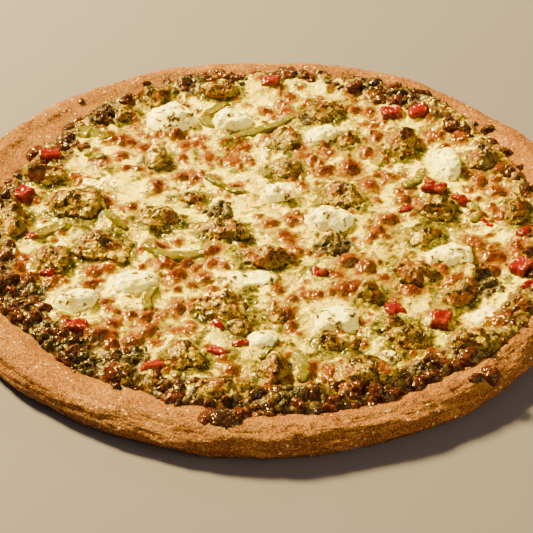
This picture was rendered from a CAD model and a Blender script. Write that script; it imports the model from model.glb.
# %% [markdown]
# # A pan pizza with pesto chicken, soft white cheese and peppers
#
# A plain model of the pizza is there already: a dough disc, a layer of cheese and 58 toppings at real size.
# This lesson gives it the surfaces of the real food. The large forms are taken from that model or repeat
# its formulas, so nothing moves or grows. New are the forms finer than a few millimetres, and every finish.

# %% Load the model and keep its box
import math
import random

import bmesh
import bpy
import numpy as np
from mathutils import Matrix, Vector, kdtree, noise


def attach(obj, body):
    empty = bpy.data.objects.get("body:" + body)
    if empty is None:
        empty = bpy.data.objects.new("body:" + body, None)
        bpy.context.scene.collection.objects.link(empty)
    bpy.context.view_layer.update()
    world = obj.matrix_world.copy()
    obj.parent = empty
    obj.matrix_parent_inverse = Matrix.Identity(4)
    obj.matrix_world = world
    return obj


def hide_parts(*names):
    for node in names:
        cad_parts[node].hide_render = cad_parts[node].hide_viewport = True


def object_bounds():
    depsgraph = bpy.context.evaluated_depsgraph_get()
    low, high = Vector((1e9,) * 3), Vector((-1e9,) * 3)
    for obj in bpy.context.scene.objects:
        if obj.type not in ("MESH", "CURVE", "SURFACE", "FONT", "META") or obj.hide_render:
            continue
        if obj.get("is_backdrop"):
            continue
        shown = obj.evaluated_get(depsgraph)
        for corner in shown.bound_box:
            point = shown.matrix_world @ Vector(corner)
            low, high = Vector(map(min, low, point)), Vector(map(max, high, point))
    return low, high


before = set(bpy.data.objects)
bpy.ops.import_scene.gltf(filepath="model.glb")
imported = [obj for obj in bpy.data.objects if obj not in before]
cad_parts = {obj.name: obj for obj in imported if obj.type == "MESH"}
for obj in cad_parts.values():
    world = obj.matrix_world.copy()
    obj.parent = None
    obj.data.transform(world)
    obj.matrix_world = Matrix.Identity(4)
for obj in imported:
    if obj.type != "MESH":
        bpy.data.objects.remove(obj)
model_low, model_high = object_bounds()
print("model box in mm:", [round(side * 1000, 1) for side in model_high - model_low])

# %% [markdown]
# ## Small helpers
#
# Food has no straight lines, so nearly every shape below is a simple form pushed in and out by noise. The
# helpers sample noise at many points, move the points of a mesh, and store a value for each point, which a
# material reads to know where the cheese is toasted or the chicken is charred.

# %% Helpers for points and noise


def smooth(value):
    """0 below 0, 1 above 1, and an easy curve between."""
    value = np.clip(value, 0.0, 1.0)
    return value * value * (3 - 2 * value)


def sampled(noise_at, points, scale, seed):
    """The noise at each point, with the given number of waves to a metre."""
    return np.array([noise_at(point) for point in (points * scale + seed).tolist()])


def waves(points, scale, seed=0.0):
    """Smooth noise, roughly -0.6 to 0.6."""
    return sampled(noise.noise, points, scale, seed)


def rough_waves(points, scale, octaves, seed=0.0):
    """Noise with finer noise on top of it, roughly -1 to 1."""
    return sampled(lambda point: noise.fractal(point, 1.0, 2.0, octaves), points, scale, seed)


def from_lobe_middle(points, scale, seed=0.0):
    """Splits space into rounded lobes, and tells how far each point is from the middle of its lobe."""
    return sampled(lambda point: noise.voronoi(point)[0][0], points, scale, seed)


def as_rows(items, field):
    flat = np.empty(len(items) * 3, np.float32)
    items.foreach_get(field, flat)
    return flat.reshape(-1, 3).astype(float)


def points_of(mesh):
    return as_rows(mesh.vertices, "co")


def normals_of(mesh):
    return as_rows(mesh.vertex_normals, "vector")


def move_points(mesh, points):
    mesh.vertices.foreach_set("co", points.astype(np.float32).ravel())
    mesh.update()


def polar(radius, turn, x=0.0, y=0.0):
    """The place at that distance and turn from x and y."""
    return x + radius * math.cos(turn), y + radius * math.sin(turn)


def store(mesh, **values):
    """Keeps numbers for each point of the mesh under names that a material can read."""
    for name, numbers in values.items():
        attribute = mesh.attributes.new(name, "FLOAT", "POINT")
        attribute.data.foreach_set("value", np.asarray(numbers, np.float32))


def as_mesh(bm, name="mesh"):
    mesh = bpy.data.meshes.new(name)
    bm.to_mesh(mesh)
    bm.free()
    return mesh


def placed(name, data):
    """Puts a mesh, lamp or camera into the scene."""
    thing = bpy.data.objects.new(name, data)
    bpy.context.scene.collection.objects.link(thing)
    return thing


def aim(thing, location, target=(0, 0, 0)):
    thing.location = location
    thing.rotation_mode = "QUATERNION"
    thing.rotation_quaternion = (Vector(target) - thing.location).to_track_quat("-Z", "Y")


def as_piece(mesh, name, finish, replaced=()):
    """Shows the mesh as a piece of the pizza, in place of the model's solids that are named."""
    mesh.name = name
    mesh.shade_smooth()
    mesh.materials.clear()
    mesh.materials.append(finish.material)
    piece = placed(name, mesh)
    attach(piece, "root")
    if replaced:
        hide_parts(*replaced)
    mesh.calc_loop_triangles()
    print(f"{name}: {len(mesh.vertices)} points, {len(mesh.loop_triangles)} triangles")
    return piece


# %% [markdown]
# ## The camera
#
# The photo looks down on the pizza at 36 degrees through a long lens, which keeps the far rim nearly as wide
# as the near one. The pizza's middle sits above the picture's middle, so the camera aims 21 mm in front.

# %% Place the camera
CAMERA_DISTANCE = 0.852
CAMERA_ELEVATION = math.radians(36.1)
CAMERA_AIM = (0.0013, -0.021, 0.0)
CAMERA_LENS = 108

camera_data = bpy.data.cameras.new("camera")
camera_data.lens = CAMERA_LENS
camera_data.sensor_width = 36
camera_data.clip_start = 0.01
camera = placed("camera", camera_data)
ahead, above = polar(CAMERA_DISTANCE, CAMERA_ELEVATION)
aim(camera, (0, -ahead, above), CAMERA_AIM)
bpy.context.scene.camera = camera
print("camera at", [round(part, 3) for part in camera.location])

# %% [markdown]
# ## Measures of the crust and the cheese
#
# The dough is a turned disc: a flat dish floor, a ramp and a rolled rim. The cheese lies level in the dish
# and climbs the ramp to a thin film. Both are uneven by a few sines and some noise. These are the model's
# formulas, now for whole arrays of points, so that the fine surfaces follow the plain ones.

# %% Sizes of the dough disc
PIZZA_RADIUS = 0.170
RIM_HEIGHT = 0.0175
RIM_HALF_WIDTH = 0.010
RIM_MIDDLE_HEIGHT = 0.0086
DISH_FLOOR = 0.007
DISH_FLOOR_RADIUS = 0.130
RIM_ARC_START = math.radians(127)
RIM_ARC_END = math.radians(-75)

RIDGE_RADIUS = PIZZA_RADIUS - RIM_HALF_WIDTH
RIM_HALF_HEIGHT = RIM_HEIGHT - RIM_MIDDLE_HEIGHT
RAMP_TOP_RADIUS = RIDGE_RADIUS + RIM_HALF_WIDTH * math.cos(RIM_ARC_START)
RAMP_TOP_HEIGHT = RIM_MIDDLE_HEIGHT + RIM_HALF_HEIGHT * math.sin(RIM_ARC_START)


def on_rim_arc(turn):
    """Radius and height of a point on the rim's round section."""
    radius = RIDGE_RADIUS + RIM_HALF_WIDTH * math.cos(turn)
    return radius, RIM_MIDDLE_HEIGHT + RIM_HALF_HEIGHT * math.sin(turn)


def rim_outline(angle):
    wave = 0.5 * np.sin(3 * angle + 0.6) + 0.3 * np.sin(5 * angle + 2.1)
    return 0.0016 * (wave + 0.35 * np.sin(9 * angle + 4.0))


def rim_lift(angle):
    wave = 0.6 * np.sin(2 * angle + 1.2) + 0.4 * np.sin(7 * angle + 0.3)
    return 0.0012 * (wave + 0.4 * np.sin(13 * angle + 2.2))


def rim_share(radius):
    return smooth((radius - DISH_FLOOR_RADIUS) / (RIDGE_RADIUS - DISH_FLOOR_RADIUS))


def top_share(height):
    return smooth((height - DISH_FLOOR) / (RIM_HEIGHT - DISH_FLOOR))


def crust_height(radius, angle):
    """Height of the crust's inner slope."""
    radius = radius - rim_share(radius) * rim_outline(angle)
    across = np.clip((radius - RIDGE_RADIUS) / RIM_HALF_WIDTH, -1, 1)
    on_arc = RIM_MIDDLE_HEIGHT + RIM_HALF_HEIGHT * np.sqrt(1 - across * across)
    climb = (radius - DISH_FLOOR_RADIUS) / (RAMP_TOP_RADIUS - DISH_FLOOR_RADIUS)
    on_ramp = DISH_FLOOR + (RAMP_TOP_HEIGHT - DISH_FLOOR) * climb
    height = np.where(radius > RAMP_TOP_RADIUS, on_arc, on_ramp)
    return height + top_share(height) * rim_lift(angle)


# %% Sizes of the cheese layer
CHEESE_LEVEL = 0.0125
CHEESE_CLIMB_START = 0.80
CHEESE_EDGE_FILM = 0.0018
SWELL = (0.0013, 42)
RIPPLE = (0.0007, 95)

# Angle in degrees and radius of the cheese's edge.
CHEESE_EDGE = (
    (0, 0.151), (20, 0.148), (38, 0.152), (52, 0.155), (75, 0.153), (92, 0.152), (108, 0.151),
    (122, 0.151), (138, 0.147), (155, 0.143), (180, 0.147), (208, 0.148), (228, 0.147), (246, 0.146),
    (260, 0.147), (272, 0.152), (288, 0.152), (300, 0.151), (312, 0.154), (327, 0.155), (345, 0.152),
)  # fmt: skip


def cheese_edge(angle):
    """Radius of the cheese's edge, eased between the listed radii."""
    degrees = np.degrees(angle) % 360
    listed = np.array((*CHEESE_EDGE, (CHEESE_EDGE[0][0] + 360, CHEESE_EDGE[0][1])))
    index = np.clip(np.searchsorted(listed[:, 0], degrees, side="right") - 1, 0, len(listed) - 2)
    low, first = listed[index].T
    high, second = listed[index + 1].T
    base = first + (second - first) * smooth((degrees - low) / (high - low))
    return base + 0.0012 * np.sin(17 * angle + 1.0) + 0.0008 * np.sin(29 * angle)


def cheese_top(x, y):
    """Height of the plain cheese surface at many points."""
    angle = np.arctan2(y, x)
    edge = cheese_edge(angle)
    share = np.hypot(x, y) / edge
    climb = crust_height(edge, angle) + CHEESE_EDGE_FILM - CHEESE_LEVEL
    level = CHEESE_LEVEL + climb * smooth((share - CHEESE_CLIMB_START) / (1 - CHEESE_CLIMB_START))
    flat = np.stack([x, y, np.zeros_like(x)], 1)
    swell = SWELL[0] * waves(flat, SWELL[1], np.array((0, 0, 0.3)))
    ripple = RIPPLE[0] * waves(flat, RIPPLE[1], np.array((0, 0, 4.7)))
    return level + (swell + ripple) * smooth((1.0 - share) / 0.05 + 0.3)


def ground(x, y):
    """Height of what a topping lies on at one point: the cheese, or the crust outside it."""
    radius, angle = np.array([math.hypot(x, y)]), np.array([math.atan2(y, x)])
    if radius[0] > cheese_edge(angle)[0]:
        return float(crust_height(radius, angle)[0])
    return float(cheese_top(np.array([x]), np.array([y]))[0])


print("cheese in the middle at", round(ground(0.0, 0.0) * 1000, 2), "mm")

# %% [markdown]
# ## Finishes in layers
#
# Every finish is a graph of shader nodes on Object coordinates, so that its grain keeps its true size. It
# is built as a painter works: a ground colour, then thin layers, each with its own mask. A mask is a noise,
# a stored value of the mesh, or both together, which frays its border. Fine bumps of few octaves and a low
# roughness give the crisp glints of fat; bumps with finer noise would turn them into a dusty veil.

# %% A finish and its layers


class Finish:
    """A Principled material whose colour is laid on in layers."""

    def __init__(self, name, roughness, **sockets):
        self.material = bpy.data.materials.new(name)
        self.material.use_nodes = True
        self.shader = self.material.node_tree.nodes["Principled BSDF"]
        self.shader.inputs["Roughness"].default_value = roughness
        for socket, value in sockets.items():
            self.shader.inputs[socket.replace("_", " ")].default_value = value
        self.where = self.node("TexCoord", {}).outputs["Object"]
        self.normal = None

    def plug(self, socket, value):
        if isinstance(value, bpy.types.NodeSocket):
            self.material.node_tree.links.new(value, socket)
        elif isinstance(value, tuple) and len(value) == 3 and len(socket.default_value) == 4:
            socket.default_value = (*value, 1.0)
        else:
            socket.default_value = value

    def node(self, kind, feeds, **settings):
        made = self.material.node_tree.nodes.new("ShaderNode" + kind)
        for setting, value in settings.items():
            setattr(made, setting, value)
        for socket, value in feeds.items():
            self.plug(made.inputs[socket], value)
        return made

    def grain(self, scale, detail=3.0, roughness=0.55, warp=0.0):
        """Soft noise from 0 to 1 with the given number of waves to a metre."""
        feeds = {"Scale": scale, "Detail": detail, "Roughness": roughness, "Distortion": warp}
        return self.node("TexNoise", {"Vector": self.where, **feeds}).outputs["Fac"]

    def dots(self, scale, size, patches):
        """Scattered dots, about one to a cell, where the patches are above a half."""
        away = self.node("TexVoronoi", {"Vector": self.where, "Scale": scale}).outputs["Distance"]
        return self.sum("MULTIPLY", self.ease(away, size, size * 1.6, 1, 0), self.ease(patches, 0.48, 0.56))

    def ease(self, value, low, high, first=0.0, last=1.0):
        """Turns low to high into first to last along an easy curve."""
        feeds = {"Value": value, "From Min": low, "From Max": high, "To Min": first, "To Max": last}
        return self.node("MapRange", feeds, interpolation_type="SMOOTHSTEP").outputs["Result"]

    def sum(self, operation, first, second):
        made = self.node("Math", {}, operation=operation)
        self.plug(made.inputs[0], first)
        self.plug(made.inputs[1], second)
        return made.outputs[0]

    def turned(self, value):
        return self.sum("SUBTRACT", 1.0, value)

    def stored(self, name, *frays):
        """A value of the mesh, made uneven by noises that are each given with their strength."""
        value = self.node("Attribute", {}, attribute_name=name).outputs["Fac"]
        for noise_value, strength in frays:
            centred = self.sum("SUBTRACT", noise_value, 0.5)
            value = self.sum("ADD", value, self.sum("MULTIPLY", centred, strength))
        return value

    def base(self, share, first, second):
        made = self.node("Mix", {}, data_type="RGBA")
        for index, value in ((0, share), (6, first), (7, second)):
            self.plug(made.inputs[index], value)
        self.colour = made.outputs[2]

    def layers(self, *rows):
        """Lays colours over the rest, each where its value rises from low to high."""
        for value, low, high, colour, most in rows:
            self.base(self.ease(value, low, high, 0.0, most), self.colour, colour)

    def bump(self, height, depth):
        feeds = {"Height": height, "Distance": depth, "Strength": 1.0}
        if self.normal:
            feeds["Normal"] = self.normal
        self.normal = self.node("Bump", feeds).outputs["Normal"]

    def finish(self, roughness=None):
        for socket, value in (("Base Color", self.colour), ("Roughness", roughness), ("Normal", self.normal)):
            if value:
                self.plug(self.shader.inputs[socket], value)


# %% [markdown]
# ## The crust
#
# The real rim is dough that puffed in the oven. Its skin is rough like sand, with low folds along the rim
# and a few small bubbles. A sculpted disc or a displaced torus would do. Here a flat grid is rolled round
# the axis along a profile, as a strip of dough is laid round a ring, because a fine full spin is slow.

# %% Roll a grid along the profile
CRUST_STEPS = 1100
RAMP_POINTS = 8
ARC_POINTS = 66
UNDERSIDE_RINGS = 8
HAIRLINE = 0.00001


def crust_profile():
    """Radius and height from the dish floor's middle, over the rim and back under to the middle."""
    out, up = RAMP_TOP_RADIUS - DISH_FLOOR_RADIUS, RAMP_TOP_HEIGHT - DISH_FLOOR
    shares = np.linspace(0, 1, RAMP_POINTS, endpoint=False)
    ramp = [(DISH_FLOOR_RADIUS + out * share, DISH_FLOOR + up * share) for share in shares]
    arc = [on_rim_arc(turn) for turn in np.linspace(RIM_ARC_START, RIM_ARC_END, ARC_POINTS)]
    foot = arc[-1][0]
    arc[-1] = (foot, 0.0)
    underside = [(foot * share, 0.0) for share in np.linspace(1, 0, UNDERSIDE_RINGS)[1:]]
    return [(0.0, DISH_FLOOR), *ramp, *arc, *underside]


def rolled_crust():
    profile = crust_profile()
    rows = len(profile) - 1
    bm = bmesh.new()
    bmesh.ops.create_grid(bm, x_segments=CRUST_STEPS, y_segments=rows, size=0.5)
    for vertex in bm.verts:
        turn = math.tau * (vertex.co.x + 0.5)
        radius, height = profile[round((vertex.co.y + 0.5) * rows)]
        vertex.co = (*polar(radius, turn), height)
    bmesh.ops.remove_doubles(bm, verts=bm.verts, dist=HAIRLINE)
    bmesh.ops.recalc_face_normals(bm, faces=bm.faces)
    return as_mesh(bm)


crust_mesh = rolled_crust()

# %% Shape the rim by the model's formulas
points = points_of(crust_mesh)
radius = np.hypot(points[:, 0], points[:, 1])
angle = np.arctan2(points[:, 1], points[:, 0])
height = points[:, 2].copy()
rim_up, rim_out = (height - RIM_MIDDLE_HEIGHT) / RIM_HALF_HEIGHT, (radius - RIDGE_RADIUS) / RIM_HALF_WIDTH
rim_turn = np.arctan2(rim_up, rim_out)
on_rim = rim_share(radius)
circle = np.stack([np.cos(angle), np.sin(angle)], 1)
fold = waves(np.column_stack([circle * 6, height * 260]), 1.0)
ripple = waves(np.column_stack([circle * 15, height * 420]), 1.0)
crag = (0.0009 * fold + 0.0005 * ripple) * on_rim * smooth(height / 0.004)
radius = radius + on_rim * rim_outline(angle) + crag
points = np.column_stack([radius[:, None] * circle, height + top_share(height) * (rim_lift(angle) + crag)])
rim_points = points[on_rim > 0.9]
middle = (rim_points.min(0) + rim_points.max(0)) / 2
points[:, :2] -= middle[:2]
move_points(crust_mesh, points)
print("rim centred by", (middle[:2] * 1000).round(2), "mm")

# %% [markdown]
# The skin comes next: fine creases, most of them at the front right, grit about 2 mm across, and bubbles.
# Each is noise that lifts a point along its own normal. The creases take the turn round the rim's section
# as one coordinate, which stretches the noise into lines that follow the rim.

# %% Push out the skin
BUBBLES = 170
BUBBLE_SEED = 21
BUBBLE_DOME = 0.24
CREASE_FRONT = math.radians(-50)

skin = on_rim * smooth(points[:, 2] / 0.002)
front = smooth(0.35 + 0.75 * np.cos(angle - CREASE_FRONT))
along = np.column_stack([circle * 4.5, rim_turn * 3.4])
crease_line = np.abs(waves(along, 1.0, 7.0) + 0.25 * waves(along, 2.7, 2.0))
crease = (1 - smooth(crease_line / 0.11)) * (0.25 + 0.75 * front)
soft_folds = waves(np.column_stack([circle * 9, rim_turn * 2.0]), 1.0, 13.0)
streak = 0.6 * rough_waves(np.column_stack([circle * 11, rim_turn * 2.2]), 1.0, 3, 27.0)
streak += 0.5 * rough_waves(points, 75, 3, 37.0)
grit = waves(points, 420) + 0.6 * waves(points, 900, 3.0)
bubble = np.zeros(len(points))
draw = random.Random(BUBBLE_SEED)
for _ in range(BUBBLES):
    turn = draw.uniform(0, math.tau)
    out, up = on_rim_arc(draw.uniform(math.radians(-30), math.radians(115)))
    size = draw.uniform(0.0010, 0.0036)
    away = np.linalg.norm(points - (*polar(out, turn), up), axis=1) / size
    bubble = np.maximum(bubble, smooth(1 - away) * size * BUBBLE_DOME)
folds = 0.0008 * soft_folds + 0.00022 * streak - 0.00045 * crease
move_points(crust_mesh, points + normals_of(crust_mesh) * ((0.00036 * grit + folds + bubble) * skin)[:, None])
store(
    crust_mesh,
    crease=crease * skin,
    streak=streak,
    bubble=smooth(bubble / 0.0006) * skin,
    outside=smooth(0.5 - (rim_turn - 0.6) / 1.6) * on_rim,
    foot=smooth(1.1 - height / 0.008) * on_rim,
    far_side=smooth(0.15 + np.sin(angle)) * on_rim,
)
print("creases on", round(float((crease > 0.5).mean()) * 100, 1), "percent of the skin")

# %% [markdown]
# ## The crust's finish
#
# Baked dough is golden: paler where it was stretched thin, browner on the outer and far sides and on
# bubbles, with darker pores and a dusting of pale semolina. Noise at 40, 8 and 1 mm tints it, and strong
# fine bumps give it the dry, sandy touch. A painted picture of a crust would show its seams close up.

# %% Baked dough
dough = Finish("baked_dough", roughness=0.5, Specular_IOR_Level=0.16)
patches = dough.grain(26, 4)
blotches = dough.grain(120, 4, warp=0.6)
sand = dough.grain(1150, 4, 0.65)
ridge = dough.stored("streak", (blotches, 0.8), (sand, 0.3))
dough.base(dough.ease(patches, 0.35, 0.68), (0.282, 0.104, 0.030), (0.215, 0.066, 0.018))
dough.layers(
    (dough.stored("outside", (blotches, 0.9)), 0.15, 1.0, (0.190, 0.054, 0.026), 0.85),
    (dough.stored("far_side", (blotches, 0.9)), 0.1, 1.0, (0.180, 0.055, 0.009), 0.66),
    (dough.sum("MULTIPLY", ridge, -1.0), 0.05, 0.55, (0.125, 0.030, 0.008), 0.6),
    (blotches, 0.52, 0.66, (0.150, 0.036, 0.009), 0.65),
    (ridge, 0.12, 0.45, (0.36, 0.150, 0.056), 0.7),
    (dough.stored("crease", (sand, 0.6)), 0.2, 0.9, (0.085, 0.018, 0.005), 0.6),
    (dough.stored("bubble", (blotches, 0.6)), 0.3, 1.0, (0.12, 0.026, 0.009), 0.6),
    (dough.stored("foot", (blotches, 0.5)), 0.15, 0.9, (0.040, 0.008, 0.003), 0.85),
    (sand, 0.53, 0.59, (0.56, 0.28, 0.13), 0.50),
    (dough.turned(sand), 0.53, 0.59, (0.060, 0.012, 0.005), 0.60),
    (dough.dots(300, 0.13, dough.grain(70, 2)), 0.0, 1.0, (0.85, 0.64, 0.50), 0.85),
)
dough.bump(dough.grain(330, 4, 0.6), 0.0014)
dough.bump(sand, 0.0011)
dough.finish(dough.ease(sand, 0.35, 0.65, 0.52, 0.28))
as_piece(crust_mesh, "crust_skin", dough, ["crust"])

# %% [markdown]
# ## Toppings start from the model's own solids
#
# Each topping's plain solid gives its place and bulk. A voxel remesh turns it into an even net of small
# squares, which noise can tear and wrinkle. Subdividing the plain solid would keep its corners and its long
# thin triangles. Pieces too small or too many for solids of their own start from a rounded block instead.

# %% Copy a solid and make its net even


def nodes_of(kind):
    return [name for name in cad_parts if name.startswith(kind)]


def solid_copy(name):
    bm = bmesh.new()
    bm.from_mesh(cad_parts[name].data)
    bmesh.ops.remove_doubles(bm, verts=bm.verts, dist=HAIRLINE)
    return bm


def even_net(bm, cell, rounds):
    """The closed shape in bm as a net of squares of about that size, softened a number of times."""
    holder = placed("net", as_mesh(bm))
    remesh = holder.modifiers.new("squares", "REMESH")
    remesh.mode = "VOXEL"
    remesh.voxel_size = cell
    soften = holder.modifiers.new("soften", "SMOOTH")
    soften.factor = 0.5
    soften.iterations = rounds
    net = bpy.data.meshes.new_from_object(holder.evaluated_get(bpy.context.evaluated_depsgraph_get()))
    bpy.data.objects.remove(holder)
    return net


def joined(meshes):
    """One mesh of several, with their stored values."""
    holders = [placed("part", mesh) for mesh in meshes]
    with bpy.context.temp_override(active_object=holders[0], selected_editable_objects=holders):
        bpy.ops.object.join()
    mesh = holders[0].data.copy()
    bpy.data.objects.remove(holders[0])
    return mesh


def long_axis(points):
    """Angle of the direction in which a piece is longest, seen from above."""
    spread = np.cov(points[:, 0], points[:, 1])
    return 0.5 * math.atan2(2 * spread[0, 1], spread[0, 0] - spread[1, 1])


def under_ceiling(points):
    """Eases the tops of the highest points back under the top of the model."""
    ceiling, ease = model_high.z + 0.0004, 0.0005
    points[:, 2] = ceiling - ease * np.logaddexp(0, (ceiling - points[:, 2]) / ease)
    return points


def on_cheese(net, depth):
    """Points of a net with its foot drawn down into the cheese, their height above it and their share."""
    points = points_of(net)
    above = points[:, 2] - cheese_top(points[:, 0], points[:, 1])
    points[:, 2] -= depth * smooth(1 - above / 0.0022)
    return points, above, np.clip(above / above.max(), 0, 1)


def tone(points, x, y, z):
    """One random shade for all points of a piece."""
    return np.full(len(points), noise.noise((x, y, z)) + 0.5)


def rough_block(row, seed, blockiness=2.6, roughness=0.28):
    """A rounded block from x, y, turn in degrees, length, width and height in millimetres."""
    x, y, _, length, width, height = (part / 1000 for part in row)
    bm = bmesh.new()
    bmesh.ops.create_cube(bm, size=2)
    bmesh.ops.subdivide_edges(bm, edges=bm.edges, cuts=3, use_grid_fill=True)
    for vertex in bm.verts:
        direction = vertex.co.normalized()
        norm = sum(abs(part) ** blockiness for part in direction) ** (1 / blockiness)
        push = 1 + roughness * noise.noise(direction * 1.6 + Vector((seed, 0.0, seed * 0.7)))
        vertex.co = direction / norm * push
    bmesh.ops.scale(bm, verts=bm.verts, vec=(length / 2, width / 2, height))
    placing = Matrix.Translation((x, y, ground(x, y))) @ Matrix.Rotation(math.radians(row[2]), 4, "Z")
    bmesh.ops.transform(bm, matrix=placing, verts=bm.verts)
    return bm


# %% [markdown]
# ## Chicken in pesto
#
# Chicken that was cut and torn, tossed in pesto and baked. It could be sculpted by hand. The knife leaves
# flat faces, so here a few planes slice the upper corners off each chunk, and crags, grain and grit are
# three sizes of noise. Char, pesto and a veil of cheese are stored as values that follow height and crags.

# %% Slice and tear the chicken
CHICKEN_CELL = 0.00078
CHICKEN_SLICES = 8
CHICKEN_NODES = nodes_of("chicken")

# Small extra pieces, as for rough_block.
SMALL_CHICKEN = (
    (-9, -89, 10, 18, 12, 6.5), (48, 78, 70, 18, 11, 7), (84, -14, 30, 19, 12, 6),
    (128, -80, 60, 18, 14, 7), (8, -79, 20, 14, 10, 5), (22, -138, 5, 16, 11, 5), (-80, 108, 40, 17, 12, 6),
    (-66, -124, -10, 16, 12, 5.5), (60, -88, 20, 14, 10, 6), (-38, 22, 10, 15, 9, 4.5),
    (104, -46, 70, 16, 10, 6.5),
)  # fmt: skip


def sliced(bm, seed):
    """Takes a few thin slices off the upper corners of a chunk."""
    draw = random.Random(seed)
    for _ in range(CHICKEN_SLICES):
        turn, tilt = draw.uniform(0, math.tau), math.radians(draw.uniform(28, 66))
        facing = Vector((math.cos(turn) * math.sin(tilt), math.sin(turn) * math.sin(tilt), math.cos(tilt)))
        reaches = [vertex.co.dot(facing) for vertex in bm.verts]
        level = max(reaches) - (max(reaches) - min(reaches)) * draw.uniform(0.07, 0.17)
        everything = [*bm.verts, *bm.edges, *bm.faces]
        cut_at = facing * level
        bmesh.ops.bisect_plane(bm, geom=everything, plane_co=cut_at, plane_no=facing, clear_outer=True)
        bmesh.ops.holes_fill(bm, edges=[edge for edge in bm.edges if edge.is_boundary])
    return bm


def tear(net, seed):
    points, above, share = on_cheese(net, 0.0014)
    turned = points @ np.array(Matrix.Rotation(long_axis(points), 3, "Z"))
    lumps = rough_waves(points, 100, 3, seed)
    crag = 1 - 2.6 * np.abs(rough_waves(points, 130, 2, seed + 5.0))
    fibre = 0.5 - 2 * np.abs(waves(turned * (0.3, 1.0, 1.0), 310, seed))
    grit = waves(points, 560, seed)
    lift = 0.0005 + 0.0014 * lumps - 0.0006 * crag + 0.0003 * fibre + 0.0005 * smooth((grit - 0.16) / 0.2)
    points += normals_of(net) * (lift * smooth(above / 0.0015))[:, None]
    move_points(net, under_ceiling(points))
    spots = waves(points, 240, seed + 11.0) + 0.4 * lumps + 0.50 * smooth((share - 0.55) / 0.45)
    veil_bias = 0.50 * noise.noise((seed * 3.7, 0.1, 0.6)) - 0.32
    store(
        net,
        char=smooth((spots - 0.36) / 0.25),
        roast=smooth((waves(points, 130, seed + 3.0) + 0.5 * share - 0.25) / 0.35),
        pesto=np.clip(smooth(crag) * 0.35 + smooth((0.50 - share) / 0.4) * 0.85, 0, 1),
        grit=smooth((grit - 0.12) / 0.2),
        veil=smooth((waves(points, 95, seed + 30.0) + veil_bias + 0.25 * (share - 0.5)) / 0.10),
        tone=tone(points, seed * 1.7, 0.4, 0.9),
    )
    return net


chunks = []
for index, name in enumerate(CHICKEN_NODES):
    chunks.append(tear(even_net(sliced(solid_copy(name), index), CHICKEN_CELL, 1), index * 3.1))
for index, row in enumerate(SMALL_CHICKEN):
    block = sliced(rough_block(row, index * 1.9), 50 + index)
    chunks.append(tear(even_net(block, CHICKEN_CELL, 1), 200 + index * 3.1))
print(len(chunks), "pieces of chicken")

# %% [markdown]
# The finish starts from golden meat, warmer or paler from piece to piece. Brown mottling goes over it, then
# an orange roast on the upper lumps, pesto in the crags and on the lower sides, dark grit, the veil of melted
# cheese that some pieces wear, and black tips.

# %% Roast chicken with pesto
meat = Finish("pesto_chicken", roughness=0.36, Specular_IOR_Level=0.22)
fine = meat.grain(880, 5, 0.66, 0.3)
spots = meat.grain(330, 4, 0.6)
broad = meat.grain(135, 3)
veil = meat.stored("veil", (spots, 1.2), (broad, 0.5))
veil_heat = meat.sum("MULTIPLY", meat.ease(broad, 0.50, 0.56), meat.ease(veil, 0.6, 0.9))
char = meat.stored("char", (fine, 1.4), (spots, 1.2))
meat.base(meat.stored("tone"), (0.155, 0.080, 0.003), (0.250, 0.142, 0.004))
meat.layers(
    (broad, 0.52, 0.62, (0.350, 0.212, 0.004), 0.8),
    (spots, 0.54, 0.61, (0.085, 0.036, 0.004), 0.75),
    (meat.turned(fine), 0.57, 0.62, (0.420, 0.265, 0.006), 0.45),
    (fine, 0.53, 0.58, (0.036, 0.016, 0.008), 0.85),
    (meat.stored("roast", (spots, 1.6)), 0.55, 0.90, (0.125, 0.027, 0.003), 0.85),
    (meat.stored("pesto", (fine, 1.8), (spots, 1.4)), 0.60, 0.80, (0.030, 0.018, 0.006), 0.9),
    (meat.stored("grit", (fine, 1.4), (broad, 1.8)), 0.66, 0.84, (0.014, 0.006, 0.004), 0.92),
    (meat.dots(560, 0.20, meat.grain(120, 2)), 0.0, 1.0, (0.010, 0.004, 0.002), 0.9),
    (veil, 0.75, 0.95, (0.62, 0.43, 0.020), 0.85),
    (veil_heat, 0.3, 0.8, (0.110, 0.024, 0.002), 0.92),
    (char, 0.66, 0.82, (0.026, 0.009, 0.003), 0.9),
    (char, 0.98, 1.15, (0.006, 0.003, 0.002), 0.95),
)
meat.bump(meat.grain(260, 2), 0.0016)
meat.bump(meat.grain(600, 1), 0.0006)
meat.finish(meat.ease(spots, 0.35, 0.65, 0.12, 0.32))
chicken_pieces = as_piece(joined(chunks), "chicken_pieces", meat, CHICKEN_NODES)

# %% [markdown]
# ## Spoonfuls of soft white cheese
#
# Soft curd dropped from a spoon keeps two or three rounded lobes with folds between them, and its foot melts
# a little. It stays white in the oven, apart from dark toasted specks on its ridges. A few joined balls
# would look like dough, so the lobes come from distances to scattered points, with creases between them.

# %% Fold the white cheese
CURD_CELL = 0.00066
CURD_NODES = nodes_of("white_cheese")

# Thin or small extra spoonfuls.
SMALL_CURD = (
    (-6, -50, 5, 28, 13, 2.6), (58, -112, 0, 12, 8, 3.4), (-88, 38, -20, 26, 16, 2),
    (110, -82, 20, 20, 12, 2.2),
)  # fmt: skip


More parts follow.
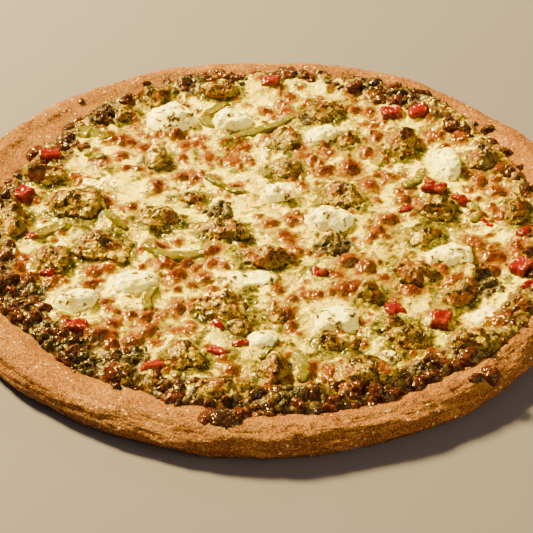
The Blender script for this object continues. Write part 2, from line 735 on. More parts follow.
def fold_curd(net, seed):
    points, above, share = on_cheese(net, 0.0014)
    bulge = from_lobe_middle(points * (1.0, 1.0, 0.6), 62, seed)
    ridges = np.abs(rough_waves(points, 105, 2, seed + 4.0))
    curd = waves(points, 330, seed)
    lift = 0.0004 - 0.0016 * bulge**2 + 0.0019 * ridges + 0.0003 * curd
    points += normals_of(net) * (lift * smooth(above / 0.0018))[:, None]
    move_points(net, under_ceiling(points))
    edge = waves(points, 400, seed + 9.0) + 0.5 * smooth((ridges - 0.25) / 0.25)
    store(net, toast=smooth((edge + 0.40 * share - 0.48) / 0.25), foot=smooth(1 - above / 0.0030))
    return net


spoonfuls = []
for index, name in enumerate(CURD_NODES):
    spoonfuls.append(fold_curd(even_net(solid_copy(name), CURD_CELL, 4), 40 + index * 2.3))
for index, row in enumerate(SMALL_CURD):
    block = rough_block(row, 60 + index * 1.3, blockiness=2.2, roughness=0.22)
    spoonfuls.append(fold_curd(even_net(block, CURD_CELL, 3), 90 + index * 2.3))
print(len(spoonfuls), "spoonfuls")

# %% Soft white cheese
curd = Finish("soft_white_cheese", roughness=0.34, Subsurface_Weight=0.10, Subsurface_Scale=0.002)
curd.shader.inputs["Subsurface Radius"].default_value = (1.0, 0.7, 0.4)
curd.shader.inputs["Specular IOR Level"].default_value = 0.35
mottle = curd.grain(210, 4)
fine = curd.grain(620, 4)
heat = curd.stored("toast", (mottle, 0.7), (fine, 0.9))
curd.base(curd.ease(mottle, 0.42, 0.62), (1.0, 0.97, 0.62), (0.90, 0.77, 0.15))
curd.layers(
    (curd.stored("foot", (mottle, 1.0)), 0.50, 1.1, (0.34, 0.23, 0.010), 0.85),
    (heat, 0.60, 0.95, (0.42, 0.22, 0.010), 0.75),
    (heat, 0.95, 1.03, (0.024, 0.008, 0.003), 0.95),
    (curd.dots(330, 0.10, curd.grain(110, 1)), 0.0, 1.0, (0.012, 0.006, 0.003), 0.95),
)
curd.bump(curd.grain(320, 2), 0.0011)
curd.bump(curd.grain(1400, 2), 0.00012)
curd.finish(curd.ease(mottle, 0.3, 0.7, 0.22, 0.40))
curd_mesh = joined(spoonfuls)
white_cheese_spoonfuls = as_piece(curd_mesh, "white_cheese_spoonfuls", curd, CURD_NODES)

# %% [markdown]
# ## Diced red pepper
#
# Diced pepper keeps its cut corners but shrinks and wrinkles in the oven. Its skin stays a deep glossy red,
# its cut edges brown. A bevelled cube would be too neat. The model's dice only need a finer net, wrinkles
# and a note of where the edges are.

# %% Wrinkle the dice
DICE_CELL = 0.00052
DICE_NODES = nodes_of("red_pepper")

# Further small bits of red.
SMALL_DICE = (
    (106, 19, -50, 12, 7, 4.2), (76, 12, 20, 10, 6, 2.8), (135, -13, 50, 9, 6, 3.8),
    (64, -75, 0, 12, 11, 2.6), (-52, -118, 20, 12, 7, 3.6), (-22, -107, -20, 12, 7, 3.4),
    (-11, -101, 15, 10, 5, 3), (28, -45, 0, 9, 7, 2.8), (-109, -45, -30, 9, 7, 4),
    (-121, -15, 10, 8, 5, 3.6), (132, -60, 30, 9, 5, 3), (117, -2, -50, 12, 4, 2.6),
    (-22, -86, -50, 9, 4, 3),
)  # fmt: skip


def wrinkle(net, seed):
    points, above, _ = on_cheese(net, 0.0008)
    centre = (points.min(0) + points.max(0)) / 2
    reach = np.linalg.norm((points - centre) / (np.ptp(points, axis=0) / 2), axis=1)
    dents = waves(points, 260, seed)
    wrinkles = np.abs(waves(points * (1.0, 0.5, 1.0), 620, seed))
    lift = (0.0010 * dents + 0.00035 * wrinkles - 0.0001) * smooth(above / 0.0008)
    move_points(net, points + normals_of(net) * lift[:, None])
    edge = smooth((reach - 0.98 + 0.3 * waves(points, 380, seed + 2.0)) / 0.22)
    store(net, edge=edge, tone=tone(points, seed * 2.3, 0.2, 0.7))
    return net


dice = []
for index, name in enumerate(DICE_NODES):
    dice.append(wrinkle(even_net(solid_copy(name), DICE_CELL, 2), 7 + index * 1.7))
for index, row in enumerate(SMALL_DICE):
    block = rough_block(row, 80 + index * 1.1, blockiness=4.0, roughness=0.25)
    dice.append(wrinkle(even_net(block, DICE_CELL, 2), 31 + index * 1.7))
print(len(dice), "dice")

# %% Roast red pepper
red = Finish("roast_red_pepper", roughness=0.12, Specular_IOR_Level=0.28)
mottle = red.grain(300, 3)
heat = red.stored("edge", (mottle, 1.0))
red.base(red.stored("tone"), (0.088, 0.0007, 0.0008), (0.135, 0.0022, 0.001))
red.layers(
    (mottle, 0.50, 0.64, (0.160, 0.010, 0.0008), 0.7),
    (heat, 0.45, 0.9, (0.165, 0.020, 0.0008), 0.6),
    (heat, 0.9, 1.2, (0.025, 0.0035, 0.0015), 0.85),
)
red.bump(red.grain(380, 1), 0.0006)
red.finish()
red_pepper_dice = as_piece(joined(dice), "red_pepper_dice", red, DICE_NODES)

# %% [markdown]
# ## Strips of yellow-green pepper
#
# A strip is a slice of pepper wall: a band about 5 mm wide that keeps the curve of the fruit, with a skin
# side, a paler inside and thin ends. It could be a curve with a bevel. Spinning an oval section round the
# arc's centre makes the same band with an even net, and its ends are then drawn to a rounded point.

# %% Spin the strips
STRIP_RINGS = 56
STRIP_SIDES = 18
STRIP_THICKNESS = 0.0050
STRIP_NODES = nodes_of("pepper_strip")

# In millimetres and degrees: x and y of the arc's middle, direction of its outward side, arc radius, sweep,
# width. The first eight repeat the model's strips, and the rest are thin ones that only the photo shows.
STRIPS = (
    (-98, 86, 75, 13, 95, 10), (-113, -8, 121, 17, 90, 7.2), (-48, -30, 252, 18.5, 122, 7.4),
    (-32, 108, 158, 17.5, 116, 6.8), (-2, 90, 303, 104, 30, 6.8), (84, 39, 327, 26, 50, 7),
    (112, 9, 5, 22, 52, 6.6), (19, -117, 8, 24, 62, 6.6), (-82, 5, 215, 80, 24, 4.6),
    (-20, 31, 235, 45, 46, 4.2), (-57, -65, 170, 22, 55, 5), (2, 47, 170, 14, 70, 4.4),
    (58, -89, 300, 12, 80, 4.8), (-95, 63, 250, 10, 75, 5), (3, -106, 330, 16, 60, 4),
)  # fmt: skip


def oval_arc(centre, facing, bend, half_sweep, width):
    """An oval section spun through the arc, with its ends filled."""
    bm = bmesh.new()
    oval = bmesh.ops.create_circle(bm, segments=STRIP_SIDES, radius=1, cap_ends=False)["verts"]
    across = Matrix.Diagonal((width / 2, STRIP_THICKNESS / 2, 1, 1))
    stand = Matrix.Translation((bend, 0, 0)) @ Matrix.Rotation(math.pi / 2, 4, "X") @ across
    start = Matrix.Translation((*centre, 0)) @ Matrix.Rotation(facing - half_sweep, 4, "Z")
    bmesh.ops.transform(bm, matrix=start @ stand, verts=oval)
    ring = [*bm.verts, *bm.edges]
    bmesh.ops.spin(bm, geom=ring, cent=(*centre, 0), axis=(0, 0, 1), angle=2 * half_sweep, steps=STRIP_RINGS)
    bmesh.ops.holes_fill(bm, edges=[edge for edge in bm.edges if edge.is_boundary])
    bmesh.ops.recalc_face_normals(bm, faces=bm.faces)
    return as_mesh(bm)


def strip_net(row, seed):
    x, y, bend, width = (row[column] / 1000 for column in (0, 1, 3, 5))
    facing = math.radians(row[2])
    half_sweep = math.radians(row[4]) / 2
    centre = np.array(polar(-bend, facing, x, y))
    net = oval_arc(centre, facing, bend, half_sweep, width)
    points = points_of(net)
    away = points[:, :2] - centre
    turn = (np.arctan2(away[:, 1], away[:, 0]) - facing + math.pi) % math.tau - math.pi
    along = turn / half_sweep
    side = np.hypot(away[:, 0], away[:, 1]) - bend
    taper = np.sqrt(np.clip(1 - np.abs(along) ** 7, 0.0004, 1))
    line = np.column_stack([along * 1.6, np.full_like(along, seed), np.zeros_like(along)])
    swell = 1 + 0.30 * waves(line, 1.0)
    wander = 0.0016 * waves(line, 1.3, 9.0)
    upright = 0.0013 + 0.0014 * waves(line, 1.5, 17.0)
    hollow = 0.0009 * smooth(1 - np.abs(side) / (width * 0.4)) * (points[:, 2] > 0)
    radius_now = bend + side * taper * swell + wander
    points[:, 0] = centre[0] + radius_now * np.cos(turn + facing)
    points[:, 1] = centre[1] + radius_now * np.sin(turn + facing)
    points[:, 2] = (points[:, 2] - hollow) * taper + upright + cheese_top(points[:, 0], points[:, 1])
    points += normals_of(net) * (0.0004 * waves(points, 420, seed))[:, None]
    move_points(net, points)
    store(net, inner=smooth(0.5 - side / width), end=smooth((np.abs(along) - 0.80) / 0.2))
    return net


strips = [strip_net(row, index * 1.37) for index, row in enumerate(STRIPS)]
print(len(strips), "strips")

# %% Cooked green pepper
green = Finish("cooked_green_pepper", roughness=0.12, Specular_IOR_Level=0.24)
mottle = green.grain(160, 4)
green.base(green.stored("inner"), (0.072, 0.061, 0.0003), (0.135, 0.106, 0.0004))
green.layers(
    (mottle, 0.50, 0.62, (0.085, 0.048, 0.0006), 0.75),
    (mottle, 0.64, 0.72, (0.036, 0.016, 0.001), 0.8),
    (green.stored("end", (mottle, 1.0)), 0.6, 1.0, (0.060, 0.016, 0.002), 0.8),
)
green.bump(green.grain(300, 1), 0.0007)
green.finish()
pepper_strips = as_piece(joined(strips), "pepper_strips", green, STRIP_NODES)

# %% [markdown]
# ## Where pesto and crumbs lie
#
# Pesto dried into heaps between the toppings, and toasted crumbs of cheese and pesto ring the edge. The model
# has the largest of them fused to its cheese. They could be listed by hand, but the same seeded draw gives
# the same places here, and a look down at the model's cheese tells which of them it kept.

# %% Find the model's crumbs
# x, y and size of each heap, in metres.
PESTO_HEAPS = (
    (0.036, -0.020, 0.007), (-0.044, 0.137, 0.007), (-0.094, 0.104, 0.006), (0.062, 0.134, 0.006),
    (0.082, 0.122, 0.007), (-0.118, -0.064, 0.007), (-0.102, -0.099, 0.007), (-0.063, -0.110, 0.006),
    (-0.083, -0.119, 0.005), (0.012, -0.142, 0.006), (0.072, -0.125, 0.006), (0.112, -0.056, 0.006),
    (-0.024, 0.010, 0.005), (0.026, 0.104, 0.004),
)  # fmt: skip
HEAP_LUMPS = 3
HEAP_REACH = 0.55
EDGE_CRUMBS = 60
CRUMB_RADII = (0.0026, 0.0046)
CRUMB_INSET = 0.0035
CRUMB_BAND = 0.014
CRUMB_SEED = 7
GOLDEN_ANGLE = math.pi * (3 - math.sqrt(5))


def edge_at(angle):
    return float(cheese_edge(np.array([angle]))[0])


def model_crumbs():
    """x, y, radius and kind of each crumb that the model's cheese has."""
    draw = random.Random(CRUMB_SEED)
    spots = []
    for x, y, heap in PESTO_HEAPS:
        for lump in range(HEAP_LUMPS):
            turn = math.tau * lump / HEAP_LUMPS + draw.uniform(0, 1.5)
            spots.append((*polar(heap * HEAP_REACH, turn, x, y), heap * draw.uniform(0.45, 0.62), "pesto"))
    for step in range(EDGE_CRUMBS):
        turn = step * GOLDEN_ANGLE
        size = draw.uniform(*CRUMB_RADII)
        reach = edge_at(turn) - CRUMB_INSET - CRUMB_BAND * draw.random() ** 1.6
        spots.append((*polar(reach, turn), size, "toasted"))
    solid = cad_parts["cheese"]
    kept = []
    for x, y, size, kind in spots:
        hit, place_hit, _, _ = solid.ray_cast(Vector((x, y, 0.1)), Vector((0, 0, -1)))
        if hit and place_hit.z > ground(x, y) + 0.4 * size:
            kept.append((x, y, size, kind))
    return kept


bpy.context.view_layer.update()
large_crumbs = model_crumbs()
print(len(large_crumbs), "crumbs stand on the model's cheese")

# %% [markdown]
# ## The melted cheese
#
# Melted cheese is one skin with swells, bubbles that browned on top, and oil that tints the low places. Rings
# round a pole would crowd in the middle, so the skin is one grid, wrapped from a square to the disc, with a
# point at every millimetre. Its outer ring is drawn down to the crust and back under, which closes it.

# %% Lay a grid over the dish
CHEESE_CELLS = 308
EDGE_WOBBLE = 0.0014
EDGE_GAP = 0.0002
HIDDEN_RADIUS = 0.128


def square_to_disc(x, y):
    """Points of the square from -1 to 1, moved so that the square fills the unit disc evenly."""
    sideways = np.abs(x) > np.abs(y)
    longer = np.where(sideways, x, y)
    shorter = np.where(sideways, y, x)
    turn = math.pi / 4 * shorter / np.where(np.abs(longer) < 1e-9, 1.0, longer)
    near, far = longer * np.cos(turn), longer * np.sin(turn)
    return np.where(sideways, near, far), np.where(sideways, far, near)


def cheese_grid():
    """The top as a grid with its edge folded down to the crust and closed underneath, on a unit disc."""
    bm = bmesh.new()
    bmesh.ops.create_grid(bm, x_segments=CHEESE_CELLS, y_segments=CHEESE_CELLS, size=1)
    layer = bm.verts.layers.int.new("ring")
    for depth in (1, 2):
        outer = [edge for edge in bm.edges if edge.is_boundary]
        made = bmesh.ops.extrude_edge_only(bm, edges=outer)["geom"]
        for item in made:
            if isinstance(item, bmesh.types.BMVert):
                item[layer] = depth
    bmesh.ops.edgeloop_fill(bm, edges=[edge for edge in bm.edges if edge.is_boundary])
    bmesh.ops.recalc_face_normals(bm, faces=bm.faces)
    mesh = as_mesh(bm)
    rings = np.empty(len(mesh.vertices), np.int32)
    mesh.attributes["ring"].data.foreach_get("value", rings)
    mesh.attributes.remove(mesh.attributes["ring"])
    return mesh, rings


cheese_mesh, ring = cheese_grid()
points = points_of(cheese_mesh)
disc_x, disc_y = square_to_disc(points[:, 0], points[:, 1])
share = np.clip(np.hypot(disc_x, disc_y), 0, 1)
angle = np.arctan2(disc_y, disc_x)
circle = np.stack([np.cos(angle), np.sin(angle)], 1)
wobble = waves(np.column_stack([circle * 17, np.zeros_like(angle)]), 1.0)
wobble += 0.5 * waves(np.column_stack([circle * 45, np.ones_like(angle)]), 1.0)
reach = cheese_edge(angle) + EDGE_WOBBLE * wobble * smooth((share - 0.8) / 0.2)
flat = np.column_stack([circle * (share * reach)[:, None], np.zeros_like(angle)])
print("cell of the net:", round(2 * 0.15 / CHEESE_CELLS * 1000, 2), "mm")

# %% [markdown]
# Cheese climbs a little wherever it touches a topping, as water does at a glass. A ray from each point could
# look for a wall. A search tree of the toppings' lowest points is quicker, and gives the distance as well.

# %% Measure how near the toppings are


def flat_tree(spots):
    """A search tree of points by their x and y."""
    tree = kdtree.KDTree(len(spots))
    for index, (x, y, _) in enumerate(spots.tolist()):
        tree.insert((x, y, 0.0), index)
    tree.balance()
    return tree


def feet_tree(*pieces, limit=0.0012):
    """A search tree of the points of the pieces that lie close to the cheese."""
    spots = np.concatenate([points_of(piece.data) for piece in pieces])
    return flat_tree(spots[np.abs(spots[:, 2] - cheese_top(spots[:, 0], spots[:, 1])) < limit])


toppings_tree = feet_tree(chicken_pieces, white_cheese_spoonfuls, red_pepper_dice, pepper_strips)
pesto_tree = feet_tree(chicken_pieces)
gap_to_topping = np.array([toppings_tree.find(spot)[2] for spot in flat.tolist()])
gap_to_pesto = np.array([pesto_tree.find(spot)[2] for spot in flat.tolist()])
print("share of the cheese within 3 mm of a topping:", round(float((gap_to_topping < 0.003).mean()), 2))

# %% [markdown]
# Bubbles that browned are the pizza's strongest pattern. Noise alone would make them all alike, so the larger
# ones are listed by place and size. Smaller ones are drawn at random, half of them beside a larger one and
# the rest more often towards the rim, where an oven browns first. Each is a steep little dome.

# %% Raise the blisters
# x, y and radius in millimetres.
BLISTERS = (
    (-78, 80, 5), (-67, 73, 5), (-49, 86, 4.5), (-62, 84, 3), (-44, 76, 4), (-38, 77, 3.5), (-46, 62, 3),
    (-45, 44, 4.5), (-38, 43, 3.5), (-33, 43, 3), (-58, 35, 4.5), (-70, 51, 3), (-79, 65, 3),
    (-90, 57, 3.5), (-104, 44, 3), (-14, 73, 3.5), (-18, 58, 4), (-9, 61, 3), (-16, 33, 4), (-86, 20, 5),
    (-71, 14, 3), (-135, 22, 4), (-114, 83, 4), (-81, 119, 4), (-92, 100, 4), (-75, 95, 3), (-31, 63, 4),
    (-85, 80, 3), (20, 73, 4), (26, 61, 4), (48, 52, 5.5), (58, 35, 5), (69, 45, 4), (33, 48, 5),
    (36, 68, 4), (58, 68, 4), (64, 84, 5), (65, 125, 5), (53, 133, 5), (62, 112, 4), (53, 114, 4),
    (98, 85, 5), (97, 103, 4.5), (108, 92, 4), (111, 80, 5), (84, 84, 3), (64, 96, 3), (76, 22, 4),
    (66, 3, 5), (74, 30, 3), (118, 40, 5), (130, 48, 4), (126, 28, 6), (141, 54, 5), (140, 42, 4.5),
    (135, 70, 4), (128, 92, 4), (12, 112, 3), (2, 113, 3), (15, 128, 4), (28, 120, 3), (21, 36, 3),
    (3, -1, 4), (15, 2, 3.5), (12, -12, 4.5), (17, -24, 3.5), (28, -24, 3), (43, -33, 5.5), (52, -38, 5),
    (36, -45, 4), (26, -61, 3.5), (14, -66, 3.5), (42, -57, 6), (73, -58, 4.5), (60, -6, 4), (56, -14, 3),
    (110, -18, 5), (118, -30, 6), (107, -45, 4.5), (115, -42, 5), (130, -23, 4), (96, -50, 4), (125, 3, 4),
    (22, -118, 3), (38, -136, 5), (17, -140, 5), (6, -143, 5), (53, -141, 4), (10, -79, 5), (7, -57, 3),
    (60, -48, 3), (31, -122, 4), (115, -88, 5), (86, -125, 5), (75, -119, 5), (-125, -40, 5),
    (-119, -49, 4), (-123, -32, 3), (-86, -42, 5), (-79, -41, 4), (-87, -53, 4), (-55, -21, 4),
    (-50, -36, 5), (-40, -36, 3), (-44, -46, 5), (-26, -25, 4), (-27, -36, 3.5), (-31, -47, 4),
    (-26, -57, 3.5), (-42, -72, 4), (-41, -89, 3.5), (-58, -79, 4), (-65, -77, 3), (-56, -90, 5),
    (-80, -93, 6), (-73, -98, 5), (-64, -98, 5), (-73, -84, 4), (-78, -68, 3), (-69, -108, 4),
    (-88, -112, 4), (-130, -57, 4), (-107, -52, 4), (-15, -119, 4), (-46, -131, 4), (-57, -134, 4),
)  # fmt: skip
SMALL_BLISTERS = 900
BLISTER_SEED = 5
DISH_REACH = 0.148
LISTED_SHARE = 0.86
DOME_RISE = 0.62

# x, y and radius of zones that hardly browned, in metres.
PALE_ZONES = ((-0.075, 0.035, 0.026), (-0.112, 0.062, 0.016), (-0.010, -0.048, 0.024), (0.045, 0.095, 0.014))


def drawn_spot(draw):
    """A place beside a listed blister, or anywhere in the dish."""
    if draw.random() < 0.5:
        x, y, size = (part / 1000 for part in draw.choice(BLISTERS))
        turn, out = draw.uniform(0, math.tau), size * draw.uniform(1.2, 2.6)
        return polar(out, turn, x, y)
    out, turn = DISH_REACH * math.sqrt(draw.random()), draw.uniform(0, math.tau)
    return polar(out, turn)


def all_blisters():
    """x, y, radius, strength, stretch and turn of every blister."""
    draw = random.Random(BLISTER_SEED)
    listed = ((x / 1000, y / 1000, size / 1000 * LISTED_SHARE) for x, y, size in BLISTERS)
    rows = [(*row, draw.uniform(0.8, 1.0)) for row in listed]
    while len(rows) < len(BLISTERS) + SMALL_BLISTERS:
        x, y = drawn_spot(draw)
        out = math.hypot(x, y) / DISH_REACH
        pale = any(math.hypot(x - zone_x, y - zone_y) < size for zone_x, zone_y, size in PALE_ZONES)
        if out < 1 and draw.random() < (0.12 if pale else 0.55) + 0.45 * out**2:
            rows.append((x, y, 0.0009 + 0.0017 * draw.random() ** 2, draw.uniform(0.45, 0.95)))
    return [(*row, draw.uniform(1.0, 1.45), draw.uniform(0, math.pi)) for row in rows]


ragged = rough_waves(flat, 240, 3, 2.0)
dome, core, halo = np.zeros((3, len(flat)))
for x, y, size, strength, stretch, turn in all_blisters():
    near = np.flatnonzero(np.abs(flat[:, 0] - x) + np.abs(flat[:, 1] - y) < size * 6)
    (east, north), (cosine, sine) = (flat[near, :2] - (x, y)).T, polar(1, turn)
    side_x, side_y = east * cosine + north * sine, north * cosine - east * sine
    away = np.hypot(side_x / stretch, side_y * stretch**0.3) / size * (1 + 0.30 * ragged[near])
    dome[near] = np.maximum(dome[near], size * DOME_RISE * np.sqrt(np.clip(1 - away**2, 0, 1)))
    core[near] = np.maximum(core[near], strength * smooth((1.2 - away) / 0.6))
    halo[near] = np.maximum(halo[near], strength * smooth((2.7 - away) / 1.9))
halo = np.maximum(halo, 0.62 * smooth(1.15 - (1 - share) * reach / 0.018) * (0.7 + 0.6 * ragged))
print("browned share of the cheese:", round(float((core > 0.5).mean()), 3))

# %% [markdown]
# Three more values are kept. The crumb value is high in the pesto heaps and in the toasted band along the
# edge, where the skin is rough. The stain value is high where pesto ran off the chicken, and the oil value
# in wider patches round it. Painted maps could say the same, but would not follow a topping that is moved.

# %% Mark pesto, toasted edge and oil
# Angle in degrees, how thickly crumbs lie there from 0 to 1, and how far the band reaches inwards.
CRUMB_THICKNESS = (
    (0, 0.45, 0.009), (30, 0.45, 0.010), (58, 0.75, 0.015), (78, 0.60, 0.010), (100, 0.50, 0.010),
    (122, 0.70, 0.014), (143, 0.75, 0.017), (170, 0.70, 0.012), (200, 0.80, 0.015), (225, 0.85, 0.020),
    (248, 0.80, 0.017), (270, 0.85, 0.012), (292, 0.90, 0.014), (312, 0.65, 0.012), (335, 0.55, 0.013),
)  # fmt: skip


def crumb_band(angle):
    """How thickly crumbs lie at an angle, and how wide their band is."""
    turns, thickness, width = np.array(CRUMB_THICKNESS).T
    degrees = np.degrees(angle) % 360
    return np.interp(degrees, turns, thickness, period=360), np.interp(degrees, turns, width, period=360)


thickness, width = crumb_band(angle)
from_edge = (1 - share) * reach
patchy = rough_waves(flat, 85, 3, 31.0)
drift = rough_waves(flat, 38, 3, 51.0)
in_band = thickness * smooth((width * (1.15 + 0.9 * patchy) - from_edge) / 0.006)
in_heap = np.zeros(len(flat))
for x, y, size in PESTO_HEAPS:
    away = np.hypot(flat[:, 0] - x, flat[:, 1] - y) / size * (1 + 0.5 * patchy)
    in_heap = np.maximum(in_heap, smooth((1.9 - away) / 0.9))
crumbly = np.clip(np.maximum(in_band, in_heap), 0, 1)
stain = np.clip(smooth(1.1 - gap_to_pesto / 0.0075) + 0.7 * patchy - 0.05, 0, 1)
drops = smooth((patchy + 0.5 * drift - 0.26) / 0.3) * 0.85
stain = np.maximum(stain * smooth(2 - gap_to_pesto / 0.006), drops)
oily = smooth(1 - gap_to_pesto / 0.012) * 0.6 + 0.45 * crumbly + 0.6 * drift
oil = smooth(oily * 0.9 + 0.32)
print("crumbly share of the cheese:", round(float((crumbly > 0.5).mean()), 3))

# %% Set the height of every point
CRUMB_RELIEF = 0.0017
MELT_RELIEF = 0.0015
STRING_RELIEF = 0.0007
PUCKER_RELIEF = 0.0004
CLIMB_RELIEF = 0.0011

climb_up = CLIMB_RELIEF * smooth(1 - gap_to_topping / 0.0035)
melt = rough_waves(flat, 105, 3, 77.0)
strings = 1 - np.abs(waves(flat, 150, 12.0)) * 2
crumb_bumps = smooth(1 - from_lobe_middle(flat, 300, 5.0)) + 0.5 * waves(flat, 600, 8.0)
pucker = rough_waves(flat, 290, 2, 91.0)
relief = MELT_RELIEF * melt + STRING_RELIEF * strings + PUCKER_RELIEF * pucker
relief += climb_up + dome + CRUMB_RELIEF * crumbly * crumb_bumps
top = cheese_top(flat[:, 0], flat[:, 1]) + relief * smooth(from_edge / 0.0035)
rim_under = crust_height(reach, angle) + EDGE_GAP
level_edge = rim_under + 0.0004
edge_drop = np.sqrt(1 - (1 - np.clip(from_edge / 0.0022, 0, 1)) ** 2)
top = level_edge + (top - level_edge) * edge_drop
height = np.where(ring == 0, top, np.where(ring == 1, rim_under, DISH_FLOOR + EDGE_GAP))
pulled = np.where(ring == 2, HIDDEN_RADIUS / reach, 1.0)
points = np.column_stack([flat[:, :2] * pulled[:, None], height])
move_points(cheese_mesh, points)
store(cheese_mesh, core=core, halo=halo, crumbly=crumbly, stain=stain, oil=oil)
print("cheese from", points[:, 2].min().round(4), "to", points[:, 2].max().round(4))

# %% [markdown]
# ## The cheese's finish
#
# Pale cream where the cheese is thick, butter yellow where it is thin and oily, and olive where pesto ran.
# Round each blister it turns gold, then orange, then red-brown, and nearly black on the largest. Hard-edged
# spots would be simpler, but noise added to each value frays the borders as heat does.

# %% Browned melted cheese
melted = Finish("melted_cheese", roughness=0.3, Specular_IOR_Level=0.25)
fine = melted.grain(520, 5, 0.65, 0.3)
mottle = melted.grain(150, 5, 0.62, 0.5)
broad = melted.grain(36, 3)
stain = melted.stored("stain", (mottle, 1.2), (fine, 1.4))
halo = melted.stored("halo", (mottle, 1.2), (fine, 0.9))
heat = melted.stored("core", (fine, 0.45), (mottle, 0.25))
dirt = melted.stored("crumbly", (fine, 2.4), (mottle, 2.2))
melted.base(melted.ease(broad, 0.36, 0.60), (0.84, 0.69, 0.020), (0.58, 0.445, 0.006))
melted.layers(
    (melted.stored("oil", (mottle, 2.4)), 0.50, 1.00, (0.175, 0.126, 0.001), 0.85),
    (mottle, 0.54, 0.59, (0.305, 0.215, 0.002), 0.8),
    (mottle, 0.605, 0.645, (0.145, 0.050, 0.001), 0.9),
    (melted.turned(fine), 0.58, 0.62, (0.92, 0.80, 0.050), 0.7),
    (fine, 0.575, 0.610, (0.155, 0.078, 0.001), 0.8),
    (fine, 0.650, 0.675, (0.040, 0.012, 0.004), 0.85),
    (stain, 0.25, 0.60, (0.078, 0.058, 0.006), 0.88),
    (stain, 0.78, 1.05, (0.018, 0.013, 0.008), 0.9),
    (halo, 0.14, 0.38, (0.225, 0.152, 0.0006), 0.88),
    (halo, 0.48, 0.68, (0.160, 0.058, 0.0006), 0.95),
    (heat, 0.36, 0.52, (0.125, 0.0265, 0.0006), 0.97),
    (heat, 0.76, 1.00, (0.062, 0.0098, 0.0006), 0.9),
    (heat, 1.04, 1.20, (0.018, 0.0035, 0.002), 0.9),
    (dirt, 0.36, 0.56, (0.095, 0.040, 0.010), 0.88),
    (dirt, 0.66, 0.90, (0.028, 0.013, 0.010), 0.9),
    (dirt, 1.05, 1.30, (0.008, 0.004, 0.004), 0.9),
    (melted.dots(230, 0.09, melted.grain(60, 1)), 0.0, 1.0, (0.012, 0.007, 0.003), 0.95),
)
melted.bump(melted.grain(170, 2, 0.5), 0.0020)
melted.bump(melted.grain(400, 1), 0.0009)
dull = melted.ease(dirt, 0.3, 0.8, 0.0, 0.25)
melted.finish(melted.sum("ADD", melted.ease(heat, 0.2, 0.6, 0.15, 0.09), dull))
melted_cheese = as_piece(cheese_mesh, "melted_cheese", melted, ["cheese"])

# %% [markdown]
# ## Crumbs
#
# Two kinds lie on the cheese: dark green grains of dried pesto, and crumbs of cheese toasted to a dark
# red-brown. They could be particles, but the piece is wanted as one mesh, so a loop adds copies of a small
# ball to one bmesh, and noise roughens them all at once.

# %% Choose places for the crumbs
SMALL_CRUMBS = 680
SMALL_CRUMB_SEED = 17
LUMP_SHARE = 0.8

# Toasted lumps that ran onto the rim or stand out at the edge: x, y and radius in millimetres.
TOASTED_LUMPS = (
    (-18, -157, 9), (-12, -156, 7), (-24, -156, 7), (105, -125, 7), (98, -129, 4), (2, -149, 4.5),
    (-5, 153, 4), (19, 151, 4.5), (-27, 154, 3.5), (-70, 139, 4), (-20, 145, 5), (-80, 119, 4), (37, 149, 5),
    (55, 144, 4.5), (96, 124, 4.5), (-8, -150, 5), (-9, -131, 4), (-128, -60, 4), (-125, -52, 4),
    (-118, -72, 4.5), (-105, -86, 4.5), (-96, -97, 4), (-107, 118, 2.5), (-68, -134, 4), (128, 88, 4.5),
    (134, 66, 4), (141, 50, 4), (84, -118, 4), (92, -111, 3.5), (-140, 8, 4), (-139, -14, 4), (-133, -34, 4),
)  # fmt: skip


cheese_points = points_of(melted_cheese.data)[ring == 0]
cheese_tree = flat_tree(cheese_points)


def surface_at(x, y):
    """Height of the finished cheese, or of what lies outside it."""
    _, index, distance = cheese_tree.find((x, y, 0))
    return cheese_points[index, 2] if distance < 0.002 else ground(x, y)


def small_crumbs():
    """x, y, radius and kind of the finer crumbs: in the band along the edge and round the heaps."""
    draw = random.Random(SMALL_CRUMB_SEED)
    found = []
    while len(found) < SMALL_CRUMBS:
        if draw.random() < 0.2:
            heap_x, heap_y, size = draw.choice(PESTO_HEAPS)
            turn, out = draw.uniform(0, math.tau), size * 1.5 * draw.random() ** 0.7
            x, y, kind = *polar(out, turn, heap_x, heap_y), "pesto"
        else:
            turn = draw.uniform(0, math.tau)
            thick, band = (float(part) for part in crumb_band(turn))
            if draw.random() > thick:
                continue
            out = edge_at(turn) + 0.0012 - band * 1.2 * draw.random() ** 1.25
            x, y = polar(out, turn)
            kind = "pesto" if noise.noise((x * 45, y * 45, 8.0)) > 0.20 else "toasted"
        if toppings_tree.find((x, y, 0))[2] < 0.0008:
            continue
        most = 0.0042 if kind == "toasted" else 0.0018
        found.append((x, y, 0.0006 + most * draw.random() ** 1.5, kind))
    return found


lumps_at_edge = [(x / 1000, y / 1000, size / 1000 * LUMP_SHARE, "toasted") for x, y, size in TOASTED_LUMPS]
crumbs = large_crumbs + lumps_at_edge + small_crumbs()
pesto_rows, toasted_rows = ([row[:3] for row in crumbs if row[3] == kind] for kind in ("pesto", "toasted"))
print(len(pesto_rows), "pesto grains and", len(toasted_rows), "toasted crumbs")

# %% Make the crumbs
LARGE_CRUMB = 0.0030
CRUMB_SUNK = 0.30


def ball(fineness):
    bm = bmesh.new()
    bmesh.ops.create_icosphere(bm, subdivisions=fineness, radius=1)
    return as_mesh(bm)


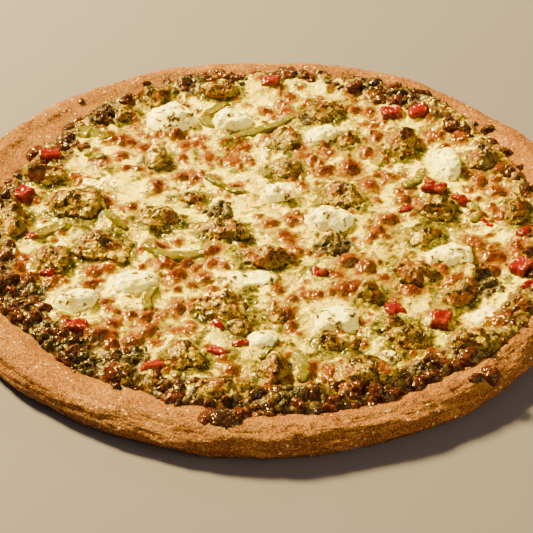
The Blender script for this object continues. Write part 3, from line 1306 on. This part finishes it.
def crumb_mesh(rows, roughness):
    draw = random.Random(SMALL_CRUMB_SEED + len(rows))
    coarse, fine = ball(2), ball(3)
    bm = bmesh.new()
    tones, sizes = [], []
    for x, y, size in rows:
        turn = Matrix.Rotation(draw.uniform(0, math.tau), 4, "Z")
        tilt = Matrix.Rotation(draw.uniform(0, 0.8), 4, "X")
        length, width = draw.uniform(0.8, 1.5), draw.uniform(0.65, 1.1)
        shape = Matrix.Diagonal((size * length, size * width, size * 0.8, 1))
        placing = Matrix.Translation((x, y, surface_at(x, y) - size * CRUMB_SUNK))
        one = (fine if size > LARGE_CRUMB else coarse).copy()
        one.transform(placing @ turn @ tilt @ shape)
        bm.from_mesh(one)
        tones += [draw.random()] * len(one.vertices)
        sizes += [size] * len(one.vertices)
        bpy.data.meshes.remove(one)
    mesh = as_mesh(bm)
    points = points_of(mesh)
    lift = 0.9 * waves(points, 330, 3.0) + 0.42 * waves(points, 800, 6.0) + 0.2 * waves(points, 1500, 9.0)
    move_points(mesh, points + normals_of(mesh) * (roughness * lift * np.minimum(sizes, 0.0035))[:, None])
    store(mesh, tone=tones, rise=smooth(lift + 0.4))
    return mesh


# %% Dried pesto
pesto = Finish("dried_pesto", roughness=0.24, Specular_IOR_Level=0.18)
grains = pesto.grain(700, 5, 0.68)
pesto.base(pesto.stored("tone"), (0.024, 0.018, 0.012), (0.036, 0.022, 0.014))
pesto.layers(
    (pesto.stored("rise", (grains, 1.4)), 0.6, 1.0, (0.080, 0.054, 0.025), 0.8),
    (grains, 0.56, 0.62, (0.230, 0.150, 0.050), 0.8),
    (pesto.turned(grains), 0.54, 0.62, (0.006, 0.004, 0.003), 0.88),
)
pesto.bump(pesto.grain(420, 1), 0.0012)
pesto.finish()
as_piece(crumb_mesh(pesto_rows, 0.8), "pesto_grains", pesto)

# %% Toasted crumbs
toasted = Finish("toasted_cheese", roughness=0.14, Specular_IOR_Level=0.22)
broad = toasted.grain(150, 3)
grains = toasted.grain(560, 4, 0.62)
toasted.base(toasted.stored("tone"), (0.020, 0.007, 0.009), (0.064, 0.0125, 0.008))
toasted.layers(
    (toasted.stored("rise", (grains, 1.0), (broad, 1.6)), 0.80, 1.15, (0.145, 0.044, 0.012), 0.75),
    (grains, 0.60, 0.66, (0.270, 0.130, 0.040), 0.55),
    (toasted.turned(grains), 0.55, 0.63, (0.007, 0.003, 0.004), 0.88),
)
toasted.bump(toasted.grain(420, 1), 0.0010)
toasted.finish()
as_piece(crumb_mesh(toasted_rows, 0.5), "toasted_crumbs", toasted)

# %% [markdown]
# ## Floor and light
#
# A plain pale floor stands for the table. The photo is lit by a warm window behind and to the left. A sun
# would give hard shadows, so an area lamp stands there. A small one behind gives the fat its shine, a wide
# weak one fills from the front, and a pale world gives the rest.

# %% Floor
FLOOR_SIZE = 6.0
floor_bm = bmesh.new()
bmesh.ops.create_grid(floor_bm, x_segments=1, y_segments=1, size=FLOOR_SIZE / 2)
table = Finish("pale_floor", roughness=0.85)
table.base(table.grain(9, 3), (0.108, 0.092, 0.215), (0.120, 0.102, 0.238))
table.bump(table.grain(700, 3), 0.00005)
table.finish()
floor = placed("floor", as_mesh(floor_bm))
floor.data.materials.append(table.material)
floor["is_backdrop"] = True
print("floor of", FLOOR_SIZE, "m")

# %% Lamps
WINDOW_COLOUR = (1.0, 0.80, 0.18)
ROOM_COLOUR = (1.0, 0.84, 0.30)
WORLD_COLOUR = (1.0, 0.84, 0.35)
WORLD_STRENGTH = 0.30


def square_lamp(name, location, size, watts, colour):
    """A square lamp that faces the pizza."""
    lamp = bpy.data.lights.new(name, "AREA")
    lamp.shape = "SQUARE"
    lamp.size = size
    lamp.energy = watts
    lamp.color = colour
    aim(placed(name, lamp), location)
    print(name, "of", watts, "W")


square_lamp("window", (-1.0, 0.7, 1.15), 0.30, 250, WINDOW_COLOUR)
square_lamp("shine", (0.15, 1.35, 0.95), 0.12, 12, WINDOW_COLOUR)
square_lamp("fill", (1.2, -1.0, 0.75), 1.2, 22, ROOM_COLOUR)

world = bpy.data.worlds.new("room")
world.use_nodes = True
background = world.node_tree.nodes["Background"]
background.inputs["Color"].default_value = (*WORLD_COLOUR, 1)
background.inputs["Strength"].default_value = WORLD_STRENGTH
bpy.context.scene.world = world

# %% Compare the boxes and finish
shown_low, shown_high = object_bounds()
growth = [(b - a) * 1000 for a, b in zip(model_high - model_low, shown_high - shown_low)]
print("shown box is larger by", [round(side, 2) for side in growth], "mm")
